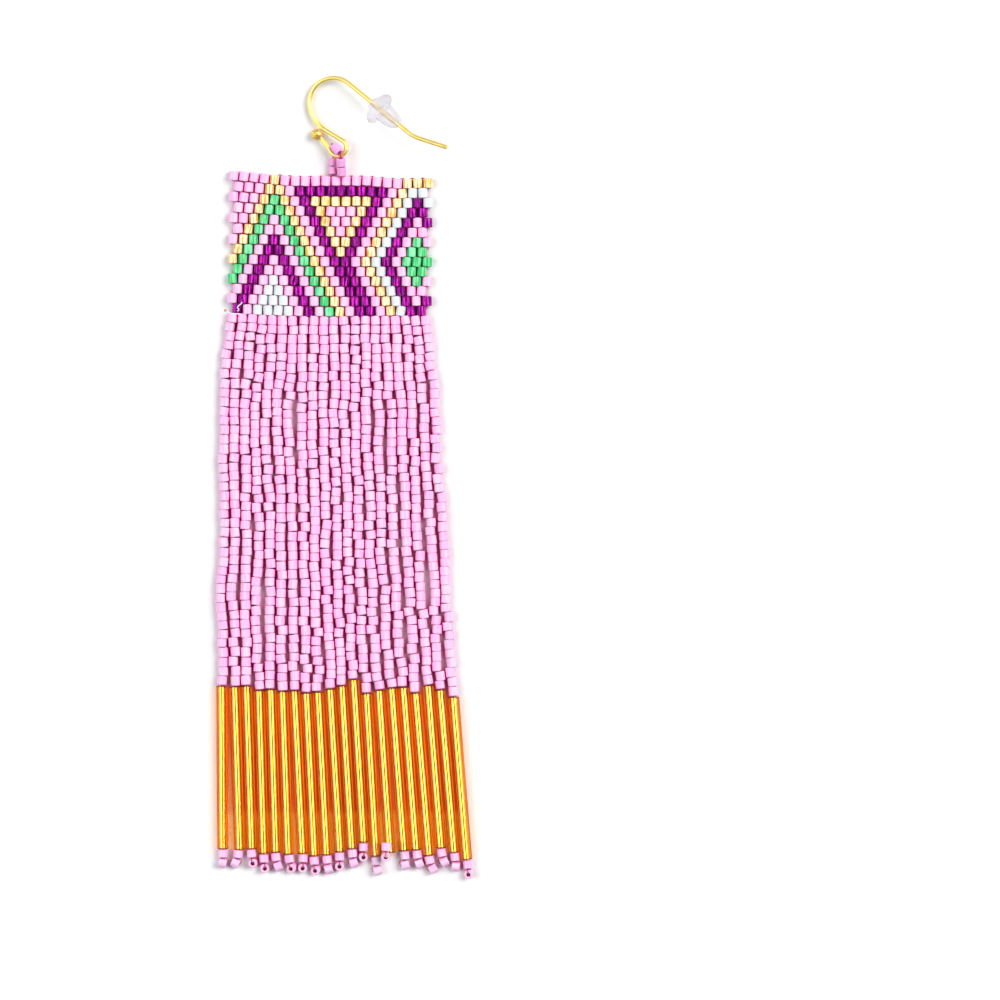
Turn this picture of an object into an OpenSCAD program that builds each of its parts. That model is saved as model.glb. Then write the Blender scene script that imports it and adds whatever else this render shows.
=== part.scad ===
// Long beaded earring lying flat on its back, with its ear hook at the +Y end.
// A woven panel of seed beads carries a straight fringe of twenty bead strings,
// each with a glass tube and two beads at its foot. A bead-covered loop of thread
// hangs the panel on a bent wire hook, and a clear stopper slides on the hook.
// X runs across the panel, Y up the earring and Z out of the table it lies on.
// Every length is in millimetres and every angle in degrees.

/* [Ear hook] */

// Thickness of the ear wire
wire_d = 0.72; // [0.6:0.01:0.9]
// Diameter of the ball that closes the short end of the wire
ball_d = 1.8; // [1.2:0.1:2.4]
// Rise of the plane of the bent wire towards its tail
hook_rise = 10.2; // [5:0.1:15]
// Direction of the wire as it leaves the ball
hook_heading = -43.6; // [-60:0.1:-30]
// Radius of the slack bend between the ball and the small loop
leg_r = 14.8; // [10:0.1:20]
// Turn of that bend
leg_turn = 14; // [10:0.5:20]
// Radius of the small loop that the thread hangs in
loop_r = 1.31; // [1.1:0.01:1.6]
// Turn of the small loop
loop_turn = 206.5; // [190:0.5:220]
// Straight run back past the ball
return_run = 2.93; // [2:0.01:4]
// Radius of the sweep up to the arch
sweep_r = 5.79; // [4:0.01:8]
// Turn of that sweep
sweep_turn = 43.5; // [30:0.5:60]
// Radius of the arch that sits in the ear
arch_r = 3.81; // [3:0.01:5]
// Turn of the arch
arch_turn = 144.7; // [130:0.1:170]
// Straight shank that carries the stopper
shank_run = 12.17; // [10:0.01:15]
// Radius of the kick at the foot of the shank
kick_r = 5.35; // [4:0.01:8]
// Turn of that kick
kick_turn = 21.3; // [10:0.1:30]
// Straight tail below the kick
tail_run = 4.6; // [3:0.1:6]
// Length of the blunt chamfer at the tail's tip
tip_run = 0.15; // [0.1:0.01:0.3]

/* [Stopper] */

// Distance of the stopper from the arch, along the shank
stopper_at = 4.68; // [4.5:0.01:6]
// Length of the stopper
stopper_length = 5.6; // [5:0.1:7]
// Largest radius of its flange
flange_r = 2.67; // [2:0.01:3.2]
// Radius of its neck behind the flange
neck_r = 1.58; // [1.2:0.01:2]
// Radial clearance of its bore on the wire
stopper_fit = 0.05; // [0.02:0.01:0.1]

/* [Hanging loop] */

// Diameter of the beads on the hanging loop
loop_bead_d = 1.44; // [1.3:0.01:1.6]
// Bore of the small beads
bead_bore_d = 0.7; // [0.5:0.05:0.8]
// Thickness of the doubled thread of the hanging loop
loop_thread_d = 0.24; // [0.16:0.02:0.3]

/* [Woven panel] */

// Number of rows of beads
panel_rows = 14; // [10:1:18]
// Beads in the longer rows, which alternate with rows that are one bead shorter
row_beads = 20; // [14:1:24]
// Diameter of a woven bead
bead_d = 1.55; // [1.4:0.01:1.6]
// Spacing of the beads in a row
bead_pitch = 1.594; // [1.56:0.002:1.7]
// Spacing of the rows
row_pitch = 1.566; // [1.5:0.002:1.7]
// Length of a bead along its hole
bead_length = 1.5; // [1.3:0.01:1.56]
// Thickness of the thread webs that join neighbouring beads
web_t = 0.9; // [0.6:0.05:1.2]
// Tilt of the top row
top_tilt = 2; // [0:0.1:4]
// Tilt of the bottom row
bottom_tilt = 0.8; // [0:0.1:4]

/* [Fringe strings] */

// Width of a string of beads between its flats
string_w = 1.5; // [1.4:0.01:1.56]
// Gap between the panel and the top of each string
string_gap = 0.1; // [0.05:0.01:0.2]
// Rings of the string's skin in each measured span
span_rings = 2; // [1:1:3]

/* [Glass tubes] */

// Diameter of a glass tube
tube_d = 1.76; // [1.6:0.01:1.8]
// Length of a glass tube
tube_length = 25.4; // [20:0.1:30]
// Bore of a glass tube
tube_bore_d = 0.8; // [0.6:0.05:1]
// Gap between a string and its tube
tube_gap = 0.15; // [0.1:0.01:0.3]

/* [Fringe feet] */

// Diameter of the bead in line with the tube
foot_bead_d = 1.5; // [1.3:0.01:1.6]
// Length of that bead
foot_bead_length = 1; // [0.8:0.05:1.4]
// Diameter of the last bead, which is turned crosswise to stop the thread
stop_bead_d = 1.44; // [1.3:0.01:1.6]
// Length of the last bead
stop_bead_length = 1.1; // [0.8:0.05:1.4]
// Thickness of the fringe thread
fringe_thread_d = 0.12; // [0.1:0.01:0.16]

/* [Hidden] */

$fn = 48;
gold_tone = [0.9, 0.78, 0.3];
pink_tone = [0.93, 0.62, 0.83];
amber_tone = [0.93, 0.6, 0.08];
clear_tone = [0.9, 0.92, 0.95, 0.5];
thread_tone = [0.85, 0.72, 0.72];

// Moves the whole earring so that its outline is centred on the Y axis and on X.
centring = [-0.073, -0.165];

wire_r = wire_d / 2;
ball_at = [-4.31, 53.6, ball_d / 2];
// The bends of the wire from its ball to its tail. Each is [radius, turn], where a
// left-hand turn is positive, or [0, length] for a straight run.
wire_bends = [
    [leg_r, -leg_turn],
    [loop_r, loop_turn],
    [0, return_run],
    [sweep_r, -sweep_turn],
    [arch_r, -arch_turn],
    [0, shank_run],
    [kick_r, kick_turn],
    [0, tail_run]];
shank_index = 5;
seam_step = 0.004;
seam_lap = 0.04;

// Beads of the hanging loop, each as [lower end, upper end], [x, y, z] each. Two
// climb on the left, one crosses over the wire and two come down on the right.
loop_beads = [
    [[-1.76, 47.42, 0.72], [-1.79, 48.6, 0.72]],
    [[-1.79, 48.72, 0.72], [-1.79, 49.87, 0.72]],
    [[-0.73, 50.7, 2.67], [-1.65, 51.82, 1.95]],
    [[-0.5, 48.68, 2.12], [-0.53, 49.82, 2.68]],
    [[-0.42, 47.28, 1.47], [-0.48, 48.55, 2.06]]];
// Course of the loop's thread from the panel, under the wire and back.
loop_route = [
    [-1.75, 47.2, 0.72],
    [-1.79, 48.63, 0.72],
    [-1.79, 50.3, 0.72],
    [-1.83, 51.2, 0.76],
    [-1.93, 51.85, 1],
    [-1.98, 52.12, 1.35],
    [-1.9, 52.12, 1.7],
    [-1.65, 51.82, 1.95],
    [-0.73, 50.7, 2.67],
    [-0.57, 50.3, 2.84],
    [-0.53, 49.82, 2.68],
    [-0.42, 47.16, 1.42]];

panel_centre = [-2.11, 46.36];
panel_shear = -0.02;
// Centre, tilt and bead count of a row, counted from 0 at the top.
function row_x(r) = panel_centre[0] + panel_shear * r;
function row_y(r) = panel_centre[1] - row_pitch * r;
function row_tilt(r) = top_tilt + (bottom_tilt - top_tilt) * r / (panel_rows - 1);
function row_count(r) = row_beads - r % 2;
last_row = panel_rows - 1;
panel_foot = row_y(last_row) - bead_length / 2;

strings = 20;
string_z = string_w / 2;
string_r = string_z / cos(22.5);
// Heights at which the strings were measured, below their top.
route_y = [17.7, 9.9, 2.9, -4.1, -11.2, -18.2, -25.2];
// Measured x of each string at those heights, from the left string to the right one.
route_x = [
    [-18.4, -18.72, -18.8, -18.7, -18.88, -19.3, -18.95],
    [-16.78, -17.12, -17.13, -17.03, -17.12, -17.5, -17.05],
    [-14.9, -15.51, -15.34, -15.4, -15.34, -15.5, -15.36],
    [-13.24, -13.87, -13.72, -13.35, -13.35, -13.68, -13.65],
    [-11.5, -12.2, -12.1, -11.6, -11.5, -11.6, -11.62],
    [-9.78, -10.56, -10.3, -9.85, -9.8, -9.8, -9.74],
    [-8.14, -8.85, -8.52, -8.07, -8.06, -8.04, -7.9],
    [-6.5, -6.68, -6.66, -6.28, -6.28, -6.26, -6.02],
    [-4.82, -5.04, -4.92, -4.58, -4.6, -4.5, -4.16],
    [-3.14, -3.34, -3.16, -2.86, -2.86, -2.74, -2.34],
    [-1.44, -1.64, -1.45, -1.12, -1.14, -0.98, -0.64],
    [0.2, 0.05, 0.2, 0.6, 0.58, 0.8, 1.07],
    [1.8, 1.72, 1.9, 2.32, 2.3, 2.66, 2.78],
    [3.42, 3.5, 3.56, 4.02, 4.02, 4.5, 4.56],
    [5.06, 5.38, 5.34, 5.72, 5.8, 6.35, 6.5],
    [6.7, 7.3, 7.4, 7.42, 7.68, 8.3, 8.46],
    [8.38, 8.98, 9.25, 9.4, 9.7, 10.2, 10.62],
    [10.12, 10.65, 10.95, 11.14, 11.56, 12, 12.5],
    [11.9, 12.42, 12.7, 13.2, 13.62, 14.2, 14.26],
    [13.68, 14.17, 14.4, 15.22, 15.42, 15.9, 16.33]];

// Measured [top x, top y, foot x] of each glass tube.
tubes = [
    [-19.13, -32.32, -18.95],
    [-17.11, -32.43, -16.33],
    [-15.26, -32.32, -14.46],
    [-13.32, -33.03, -12.56],
    [-11.49, -32.85, -10.7],
    [-9.65, -33.17, -8.78],
    [-7.8, -33.07, -6.54],
    [-5.94, -33.42, -4.68],
    [-4.11, -33.27, -2.77],
    [-2.24, -32.81, -0.7],
    [-0.39, -32.32, 1.14],
    [1.45, -31.32, 2.98],
    [3.45, -33.49, 4.93],
    [5.4, -32.99, 7.1],
    [7.36, -32.67, 9.26],
    [9.2, -32.53, 11.14],
    [11.1, -33.42, 13.19],
    [13.03, -32.25, 15.04],
    [14.9, -32.93, 17.07],
    [16.99, -34.05, 19.03]];
tube_z = tube_d / 2;

// Foot of each string, as [reach, lean, lean, roll, lift]: distance of the in-line
// bead from the tube, its direction, the direction on to the last bead, the roll of
// the last bead's hole from the +X side up, and the height by which both are lifted.
feet = [
    [0.72, 0, -2, 0, 0],
    [0.74, -22, -17, 0, 0],
    [0.72, -2, 10, 100, 0],
    [0.8, 0, 2, 80, 0],
    [0.74, 0, 14, 180, 0],
    [0.72, 14, 16, 110, 0],
    [0.74, 9, -5, 85, 0],
    [0.76, -4, 11, 105, 0],
    [0.74, 6, 8, 180, 0],
    [0.74, -6, 0, 90, 0],
    [0.76, 8, 8, 180, 0],
    [0.78, -2, -3, 80, 0],
    [0.76, 3, 8, 180, 0],
    [1.13, -150, -3, 90, 1.62],
    [0.74, 8, 4, 180, 0],
    [0.76, 16, 13, 180, 0],
    [0.72, 4, 22, 180, 0],
    [0.74, 10, 16, 180, 0],
    [0.76, 12, 4, 0, 0],
    [0.8, 14, 7, 100, 0]];
stop_reach = 1.47;
stop_dip = 10;
foot_bead_z = foot_bead_d / 2;

// Unit vectors and the frame carried along a route.
function unit(v) = v / norm(v);
function heading(a) = [sin(a), -cos(a), 0];
function tangent(p, i) = unit(p[min(i + 1, len(p) - 1)] - p[max(i - 1, 0)]);
function side_of(p, i, side) = let(t = tangent(p, i)) unit(side - (side * t) * t);
function sides_of(p, side, i = 0) =
    let(s = side_of(p, i, side))
    i == len(p) - 1 ? [s] : concat([s], sides_of(p, s, i + 1));

// Value of a smooth curve through b and c, with a and d on either side of them.
function glide(a, b, c, d, t) =
    b + (c - a) * t / 2 + (2 * a - 5 * b + 4 * c - d) * t * t / 2
    + (3 * b - a - 3 * c + d) * t * t * t / 2;

// Measured points of string i from its top to its foot, as [x, y].
function string_top(i) =
    let(x = row_x(panel_rows) + bead_pitch * (i - (strings - 1) / 2))
    [x, panel_foot - string_gap - (x - row_x(last_row)) * tan(bottom_tilt)];
function string_foot(i) = [tubes[i][0], tubes[i][1] + tube_gap];
function string_points(i) = concat(
    [string_top(i)],
    [for (k = [0 : len(route_y) - 1]) [route_x[i][k], route_y[k]]],
    [string_foot(i)]);
function string_curve(p) = concat(
    [for (k = [0 : len(p) - 2])
        for (j = [0 : span_rings - 1])
            glide(p[max(k - 1, 0)], p[k], p[k + 1], p[min(k + 2, len(p) - 1)], j / span_rings)],
    [p[len(p) - 1]]);

// Direction and ends of glass tube i.
function tube_dir(i) =
    let(dx = tubes[i][2] - tubes[i][0])
    [dx, -sqrt(tube_length * tube_length - dx * dx), 0] / tube_length;
function tube_top(i) = [tubes[i][0], tubes[i][1], tube_z];
function tube_end(i) = tube_top(i) + tube_length * tube_dir(i);

// Direction and centre of the in-line bead of foot i.
function foot_dir(i) =
    feet[i][4] > 0 ? heading(feet[i][2]) : unit(tube_dir(i) + heading(feet[i][2]));
function foot_centre(i) =
    let(p = tube_end(i) + feet[i][0] * heading(feet[i][1]))
    [p[0], p[1], foot_bead_z + feet[i][4] + (feet[i][4] > 0 ? tube_z - foot_bead_z : 0)];

// Direction of the hole and centre of the last bead of foot i.
function stop_dir(i) =
    let(d = heading(feet[i][2]), s = [-d[1], d[0], 0], w = feet[i][3])
    cos(stop_dip) * (cos(w) * s + [0, 0, sin(w)]) + sin(stop_dip) * d;
function stop_half_height(i) =
    let(u = abs(stop_dir(i)[2]))
    stop_bead_d / 2 * sqrt(1 - u * u) + stop_bead_length / 2 * u;
function stop_centre(i) =
    let(p = foot_centre(i) + stop_reach * heading(feet[i][2]))
    [p[0], p[1], feet[i][4] > 0 ? p[2] : stop_half_height(i)];

// Course of the fringe thread down string i, through its tube and into its foot.
function thread_in_tube(i) = [
    [string_foot(i)[0], string_foot(i)[1] - 0.05, string_z],
    tube_top(i) + 0.4 * tube_dir(i),
    tube_end(i) - 0.2 * tube_dir(i)];
function thread_in_foot(i) =
    let(c = foot_centre(i), h = foot_bead_length / 2 * foot_dir(i))
    let(s = stop_centre(i), d = heading(feet[i][2]), u = stop_dir(i))
    let(v = unit(u - (u * d) * d))
    [
        c - h - 0.04 * foot_dir(i),
        c + h,
        s - 0.85 * d,
        s - 0.85 * d + 0.7 * v,
        s - 0.5 * d + 0.86 * v,
        s + 0.8 * u,
        s + 0.45 * u,
        s - 0.45 * u];
function fringe_routes(i) =
    feet[i][4] > 0
        ? [thread_in_tube(i), thread_in_foot(i)]
        : [concat(thread_in_tube(i), thread_in_foot(i))];

// Places its children at point p with their Z axis along direction d.
module along(p, d) {
    translate(p)
        rotate([0, acos(d[2] / norm(d)), atan2(d[1], d[0])])
            children();
}

// Bends a round wire step by step, starting at the origin along +X. Every other
// segment is a hair thinner and reaches a little way into its neighbours.
module bent_wire(bends, i = 0) {
    full = i % 2 == 1;
    segment_r = full ? wire_r : wire_r - seam_step;
    lap = full ? 0 : seam_lap;
    if (i < len(bends)) {
        r = bends[i][0];
        v = bends[i][1];
        hand = sign(v);
        if (r == 0) {
            translate([-lap, 0, 0])
                rotate([0, 90, 0])
                    cylinder(r = segment_r, h = v + 2 * lap);
            translate([v, 0, 0])
                bent_wire(bends, i + 1);
        } else {
            lap_turn = lap / r * 180 / PI;
            translate([0, hand * r, 0]) {
                rotate([0, 0, (hand > 0 ? -90 : 90 - abs(v)) - lap_turn])
                    rotate_extrude(angle = abs(v) + 2 * lap_turn)
                        translate([r, 0])
                            circle(r = segment_r);
                rotate([0, 0, v])
                    translate([0, -hand * r, 0])
                        bent_wire(bends, i + 1);
            }
        }
    } else {
        translate([-lap, 0, 0])
            rotate([0, 90, 0])
                cylinder(r1 = segment_r, r2 = wire_r - tip_run, h = tip_run + lap);
    }
}

// Follows the same bends without drawing them and places its children at bend stop.
module at_bend(bends, stop, i = 0) {
    if (i == stop) {
        children();
    } else {
        r = bends[i][0];
        v = bends[i][1];
        hand = sign(v);
        if (r == 0) {
            translate([v, 0, 0])
                at_bend(bends, stop, i + 1)
                    children();
        } else {
            translate([0, hand * r, 0])
                rotate([0, 0, v])
                    translate([0, -hand * r, 0])
                        at_bend(bends, stop, i + 1)
                            children();
        }
    }
}

// Raises the plane of the ear wire and sets its ball in place.
module hook_place() {
    translate(ball_at)
        rotate([0, -hook_rise, 0])
            rotate([0, 0, hook_heading])
                children();
}

module ear_hook() {
    color(gold_tone)
        translate(centring)
            hook_place() {
                sphere(d = ball_d);
                bent_wire(wire_bends);
            }
}

// Half outline of the stopper, as [distance from its axis, distance along it]:
// a short nose, a wide flange that is hollow behind and a tapering neck.
stopper_bore_r = wire_r + stopper_fit;
stopper_outline = [
    [stopper_bore_r, 0],
    [0.85, 0],
    [0.98, 0.32],
    [2.12, 0.75],
    [flange_r - 0.08, 1.3],
    [flange_r, 1.6],
    [flange_r - 0.05, 1.85],
    [2.3, 2.27],
    [1.9, 2.3],
    [neck_r, 2.15],
    [neck_r, 2.6],
    [1.5, 3.4],
    [1.31, 4.54],
    [0.98, 5.2],
    [0.72, stopper_length],
    [stopper_bore_r, stopper_length]];

module stopper() {
    color(clear_tone)
        translate(centring)
            hook_place()
                at_bend(wire_bends, shank_index)
                    rotate([0, 90, 0])
                        translate([0, 0, stopper_at])
                            rotate_extrude()
                                polygon(stopper_outline);
}

// A short drilled bead from point a to point b.
module drilled_bead(a, b, d) {
    along(a, b - a)
        difference() {
            cylinder(d = d, h = norm(b - a));
            translate([0, 0, -0.1])
                cylinder(d = bead_bore_d, h = norm(b - a) + 0.2);
        }
}

// A thin thread along route p, eight-sided, whose first corner faces side.
module thread(p, d, side) {
    s = sides_of(p, side);
    n = len(p);
    points = [for (i = [0 : n - 1])
        let(t = tangent(p, i), c = cross(t, s[i]))
        for (k = [0 : 7]) p[i] + d / 2 * (cos(45 * k) * s[i] + sin(45 * k) * c)];
    skin = [for (i = [0 : n - 2])
        for (k = [0 : 7])
            let(m = (k + 1) % 8)
            [8 * i + k, 8 * i + 8 + k, 8 * i + 8 + m, 8 * i + m]];
    ends = [
        [for (k = [0 : 7]) k],
        [for (k = [7 : -1 : 0]) 8 * (n - 1) + k]];
    polyhedron(points, concat(skin, ends), convexity = 8);
}

module hanger_beads() {
    color(pink_tone)
        translate(centring)
            for (b = loop_beads)
                drilled_bead(b[0], b[1], loop_bead_d);
}

module hanger_thread() {
    color(thread_tone)
        translate(centring)
            thread(loop_route, loop_thread_d, [1, 0, 0]);
}

// One row of the panel: round beads with their holes along Y, joined by thread.
module panel_row(r) {
    n = row_count(r);
    translate([row_x(r), row_y(r), bead_d / 2])
        rotate([90, 0, -row_tilt(r)])
            translate([0, 0, -bead_length / 2])
                linear_extrude(height = bead_length) {
                    for (k = [0 : n - 1])
                        translate([bead_pitch * (k - (n - 1) / 2), 0])
                            circle(d = bead_d);
                    square([bead_pitch * (n - 1), web_t], center = true);
                }
}

// Webs of thread that join a row to the next one below it.
module panel_joint(r) {
    w = bead_pitch * (row_beads - 2);
    h = row_pitch - bead_length + 0.2;
    translate([row_x(r + 0.5), row_y(r + 0.5), bead_d / 2])
        rotate([0, 0, -row_tilt(r + 0.5)])
            cube([w, h, web_t - 0.2], center = true);
}

module panel() {
    color(pink_tone)
        translate(centring) {
            for (r = [0 : last_row])
                panel_row(r);
            for (r = [0 : last_row - 1])
                panel_joint(r);
        }
}

// String i, counted from 0 at the left, as one skin with upright rings.
module strand(i) {
    p = string_curve(string_points(i));
    n = len(p);
    points = [for (q = p)
        for (k = [0 : 7])
            [q[0] + string_r * cos(45 * k + 22.5), q[1], string_z + string_r * sin(45 * k + 22.5)]];
    skin = [for (j = [0 : n - 2])
        for (k = [0 : 7])
            let(m = (k + 1) % 8)
            [8 * j + k, 8 * j + m, 8 * j + 8 + m, 8 * j + 8 + k]];
    ends = [
        [for (k = [7 : -1 : 0]) k],
        [for (k = [0 : 7]) 8 * (n - 1) + k]];
    color(pink_tone)
        translate(centring)
            polyhedron(points, concat(skin, ends), convexity = 4);
}

module bugle(i) {
    color(amber_tone)
        translate(centring)
            along(tube_top(i), tube_dir(i))
                difference() {
                    cylinder(d = tube_d, h = tube_length);
                    translate([0, 0, -1])
                        cylinder(d = tube_bore_d, h = tube_length + 2);
                }
}

module foot_beads() {
    color(pink_tone)
        translate(centring)
            for (i = [0 : strings - 1]) {
                h = foot_bead_length / 2 * foot_dir(i);
                drilled_bead(foot_centre(i) - h, foot_centre(i) + h, foot_bead_d);
            }
}

module stop_beads() {
    color(pink_tone)
        translate(centring)
            for (i = [0 : strings - 1]) {
                h = stop_bead_length / 2 * stop_dir(i);
                drilled_bead(stop_centre(i) - h, stop_centre(i) + h, stop_bead_d);
            }
}

module fringe_thread() {
    color(thread_tone)
        translate(centring)
            for (i = [0 : strings - 1])
                for (p = fringe_routes(i))
                    thread(p, fringe_thread_d, [1, 0, 0]);
}

ear_hook();
stopper();
hanger_beads();
hanger_thread();
panel();
strand(0);  // strand_01
strand(1);  // strand_02
strand(2);  // strand_03
strand(3);  // strand_04
strand(4);  // strand_05
strand(5);  // strand_06
strand(6);  // strand_07
strand(7);  // strand_08
strand(8);  // strand_09
strand(9);  // strand_10
strand(10);  // strand_11
strand(11);  // strand_12
strand(12);  // strand_13
strand(13);  // strand_14
strand(14);  // strand_15
strand(15);  // strand_16
strand(16);  // strand_17
strand(17);  // strand_18
strand(18);  // strand_19
strand(19);  // strand_20
bugle(0);  // bugle_01
bugle(1);  // bugle_02
bugle(2);  // bugle_03
bugle(3);  // bugle_04
bugle(4);  // bugle_05
bugle(5);  // bugle_06
bugle(6);  // bugle_07
bugle(7);  // bugle_08
bugle(8);  // bugle_09
bugle(9);  // bugle_10
bugle(10);  // bugle_11
bugle(11);  // bugle_12
bugle(12);  // bugle_13
bugle(13);  // bugle_14
bugle(14);  // bugle_15
bugle(15);  // bugle_16
bugle(16);  // bugle_17
bugle(17);  // bugle_18
bugle(18);  // bugle_19
bugle(19);  // bugle_20
foot_beads();
stop_beads();
fringe_thread();
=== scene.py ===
import math
import random
from functools import partial

import bpy
import numpy as np
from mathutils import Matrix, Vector


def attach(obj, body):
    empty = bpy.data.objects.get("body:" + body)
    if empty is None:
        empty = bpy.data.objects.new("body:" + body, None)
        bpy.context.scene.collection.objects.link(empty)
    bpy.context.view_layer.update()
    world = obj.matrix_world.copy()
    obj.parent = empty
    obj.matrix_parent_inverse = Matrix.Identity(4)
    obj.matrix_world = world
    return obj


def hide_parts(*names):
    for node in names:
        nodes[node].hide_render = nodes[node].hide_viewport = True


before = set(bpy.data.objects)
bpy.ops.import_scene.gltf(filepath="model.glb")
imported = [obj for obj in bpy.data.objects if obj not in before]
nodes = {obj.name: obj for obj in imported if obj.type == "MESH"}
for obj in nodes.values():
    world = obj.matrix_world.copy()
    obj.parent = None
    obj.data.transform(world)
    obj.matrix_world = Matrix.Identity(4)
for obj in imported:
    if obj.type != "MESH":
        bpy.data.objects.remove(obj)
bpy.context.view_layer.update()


# Ear hook.
# The real hook is one length of brass wire, bent on pins in a single plane and
# gold plated, with a small ball soldered on its short end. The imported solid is
# its true shape, so it only takes its plating here.

MM = 0.001
solder_ball = (-4.38 * MM, 53.6 * MM, 0.8 * MM)
ball_middle, ball_edge = 1.1 * MM, 1.3 * MM  # where its finish is full, and where it ends


class Flow:
    """One socket in a node tree. Plus, minus and times add Math nodes, and node() adds any other."""

    def __init__(self, tree, socket):
        self.tree = tree
        self.socket = socket

    @classmethod
    def node(cls, tree, kind, inputs=None, out=0, **settings):
        """Output of a new node. Its settings are made first, then its inputs are set or linked."""
        made = tree.nodes.new(kind)
        for name, value in settings.items():
            setattr(made, name, value)
        for name, value in (inputs or {}).items():
            if isinstance(value, Flow):
                tree.links.new(value.socket, made.inputs[name])
            else:
                made.inputs[name].default_value = value
        return cls(tree, made.outputs[out])

    def maths(self, operation, *others):
        """A Math node on this value and the others."""
        inputs = dict(enumerate([self, *others]))
        return Flow.node(self.tree, "ShaderNodeMath", inputs, operation=operation)

    def __add__(self, other):
        return self.maths("ADD", other)

    def __sub__(self, other):
        return self.maths("SUBTRACT", other)

    def __mul__(self, other):
        return self.maths("MULTIPLY", other)

    def __rsub__(self, other):
        return Flow.node(self.tree, "ShaderNodeMath", {0: other, 1: self}, operation="SUBTRACT")

    __radd__ = __add__
    __rmul__ = __mul__

    def held(self, low=0.0, high=1.0):
        """The value, kept from low to high."""
        return self.maths("MAXIMUM", low).maths("MINIMUM", high)

    def ramp(self, start, end):
        """Goes evenly from 0 where the value is at the start to 1 where it is at the end."""
        return ((self - start) * (1 / (end - start))).held()

    def blend(self, first, second):
        """The first colour where this is 0 and the second where it is 1."""
        inputs = {0: self, 6: first, 7: second}
        return Flow.node(self.tree, "ShaderNodeMix", inputs, out=2, data_type="RGBA")

    def parts(self):
        """The x, y and z of a vector."""
        split = Flow.node(self.tree, "ShaderNodeSeparateXYZ", {0: self}).socket.node
        return [Flow(self.tree, part) for part in split.outputs]

    @staticmethod
    def vector(x, y, z):
        return Flow.node(x.tree, "ShaderNodeCombineXYZ", {0: x, 1: y, 2: z})


def rgb(*screen):
    """A colour given as it looks on a screen, 0 to 255, as the shader's own values."""
    shares = [value / 255 for value in screen]
    return [s / 12.92 if s <= 0.04045 else ((s + 0.055) / 1.055) ** 2.4 for s in shares] + [1.0]


def finish(name, **constants):
    """A new material, its node tree, and its shader with the constants set on it."""
    material = bpy.data.materials.new(name)
    material.use_nodes = True
    shader = material.node_tree.nodes["Principled BSDF"]
    for key, value in constants.items():
        shader.inputs[key.replace("_", " ")].default_value = value
    return material, material.node_tree, shader


def feed(node, name, flow):
    """Links a flow to one of a node's inputs."""
    flow.tree.links.new(flow.socket, node.inputs[name])


def object_place(tree):
    return Flow.node(tree, "ShaderNodeTexCoord", out="Object")


def noise(place, scale, detail=3.0):
    """Cloudy noise from 0 to 1. The scale is in clouds to the metre."""
    inputs = {"Vector": place, "Scale": scale, "Detail": detail}
    return Flow.node(place.tree, "ShaderNodeTexNoise", inputs)


def bump(shader, height, depth, strength=1.0):
    """Relief on the surface, as deep as the depth in metres where the height goes from 0 to 1."""
    inputs = {"Height": height, "Distance": depth, "Strength": strength}
    feed(shader, "Normal", Flow.node(height.tree, "ShaderNodeBump", inputs))


def gold_plating():
    """Bright plating over drawn wire, rougher and browner on the soldered ball."""
    bright_gold, soft_gold, brown_gold = rgb(255, 236, 146), rgb(248, 216, 112), rgb(222, 160, 60)
    material, tree, shader = finish("gold_plating", Metallic=0.8, Coat_Weight=0.15)
    place = object_place(tree)
    to_ball = {0: place, 1: solder_ball}
    away = Flow.node(tree, "ShaderNodeVectorMath", to_ball, out="Value", operation="DISTANCE")
    on_ball = away.ramp(ball_edge, ball_middle)
    pits = noise(place, scale=2600, detail=2)
    cloud = noise(place, scale=900)
    hairlines = noise(place, scale=5200, detail=5)
    colour = cloud.ramp(0.1875, 0.8125).blend(bright_gold, soft_gold)
    pitted = on_ball * pits.ramp(0.4, 0.65)
    feed(shader, "Base Color", pitted.blend(colour, brown_gold))
    feed(shader, "Roughness", 0.26 + 0.16 * hairlines)
    bump(shader, 0.02 * hairlines + on_ball * pits, depth=0.2 * MM)
    return material


def coat(piece, material):
    """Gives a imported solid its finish."""
    if not piece.material_slots:
        piece.data.materials.append(material)
    for slot in piece.material_slots:
        slot.material = material


coat(nodes["ear_hook"], gold_plating())


# Stopper.
# The stopper is moulded in one shot of clear silicone: a wide flange with a
# hollow back and a tapering neck. It grips the straight shank by friction.


def clear_to_lamps(surface, colour):
    """Gives the material its surface, which lets lamp light through to what lies beyond, tinted."""
    tree = surface.tree
    lamp_light = Flow.node(tree, "ShaderNodeLightPath", out="Is Shadow Ray")
    through = Flow.node(tree, "ShaderNodeBsdfTransparent", {"Color": colour})
    lit = Flow.node(tree, "ShaderNodeMixShader", {0: lamp_light, 1: surface, 2: through})
    feed(tree.nodes["Material Output"], "Surface", lit)


def clear_silicone():
    """Clear silicone with a milky haze and the faint grain of its mould."""
    clear, milky, lamp_tint = rgb(230, 229, 231), rgb(217, 215, 218), rgb(228, 227, 231)
    material, tree, shader = finish("clear_silicone", IOR=1.17, Transmission_Weight=0.8)
    place = object_place(tree)
    haze = noise(place, scale=700, detail=4)
    feed(shader, "Base Color", haze.blend(clear, milky))
    feed(shader, "Roughness", 0.26 + 0.16 * haze)
    bump(shader, noise(place, scale=2600), depth=0.01 * MM)
    clear_to_lamps(Flow(tree, shader.outputs[0]), lamp_tint)
    return material


coat(nodes["stopper"], clear_silicone())


# Hanging loop.
# Five pink seed beads are threaded on a doubled thread that comes out of the
# panel's top row, passes round the small loop of the hook and goes back in.
# Each bead is a short piece cut from a drawn glass tube, with fire-softened rims.

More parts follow.
